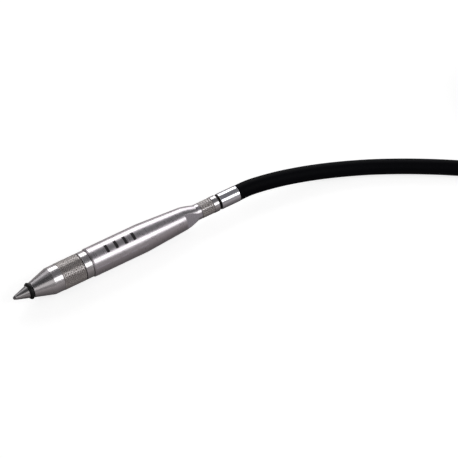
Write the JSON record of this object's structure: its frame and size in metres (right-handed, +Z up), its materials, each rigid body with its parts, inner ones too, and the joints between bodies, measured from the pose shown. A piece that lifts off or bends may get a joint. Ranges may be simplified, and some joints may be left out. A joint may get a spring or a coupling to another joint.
{
  "type": "air engraving pen",
  "caption": "Slim pneumatic engraving pen with a carbide-tipped reciprocating stylus, knurled nose cap, rotating throttle ring, and an air hose tied in a hank, with its inlet fitting.",
  "frame": {"origin": "on the surface that the pen lies on, under the middle of the pen between stylus tip and hose ferrule", "axes": "+X along the pen from the stylus tip towards the hose, +Z up, so the pen lies on its barrel"},
  "size_m": [0.472, 0.0812, 0.0454],
  "materials": {
    "carbide": "ground sintered tungsten carbide",
    "stylus_steel": "hardened and ground",
    "rubber": "moulded nitrile",
    "cap_steel": "turned stainless steel, knurled in part",
    "bronze": "sintered bronze",
    "inner_steel": "hardened and ground",
    "brass": "machined",
    "barrel_steel": "satin turned stainless steel",
    "chrome": "polished",
    "hose_rubber": "smooth extruded",
    "strap": "woven hook-and-loop strap"
  },
  "bodies": {
    "pen": {"nose_cap": "cap_steel", "nose_bushing": "bronze", "stylus_spring": "inner_steel", "cylinder": "inner_steel", "cap_seal_ring": "rubber", "barrel_seal_ring": "rubber", "cylinder_head": "brass", "head_gasket": "rubber", "barrel": "barrel_steel", "throttle_stem": "inner_steel", "stem_joint_seal": "rubber", "throttle_seal_front": "rubber", "throttle_seal_rear": "rubber", "throttle_stop_pin": "inner_steel", "throttle_dust_ring": "rubber", "filter_disc": "bronze", "hose_nipple": "brass", "hose_ferrule": "chrome", "hose_end": "hose_rubber", "hose": "hose_rubber", "hose_coil": "hose_rubber", "coil_tie": "strap", "inlet_ferrule": "chrome", "inlet_hose_end": "hose_rubber", "inlet_fitting": "brass"},
    "stylus": {"stylus": "stylus_steel", "carbide_tip": "carbide", "stylus_bumper_ring": "rubber"},
    "hammer": {"hammer_piston": "inner_steel"},
    "throttle": {"throttle_ring": "cap_steel"}
  },
  "joints": [
    {"name": "stylus_slide", "type": "slide", "parent": "pen", "child": "stylus", "axis": [-1, 0, 0], "range_m": [0, 0.001], "stiffness_N_per_m": 800, "springref_m": -0.0015, "deforming": ["stylus_spring"]},
    {"name": "hammer_slide", "type": "slide", "parent": "pen", "child": "hammer", "axis": [-1, 0, 0], "range_m": [0, 0.008]},
    {"name": "throttle_turn", "type": "hinge", "parent": "pen", "child": "throttle", "pos_m": [0.05742, 0, 0.009], "axis": [1, 0, 0], "range_deg": [0, 90]}
  ]
}
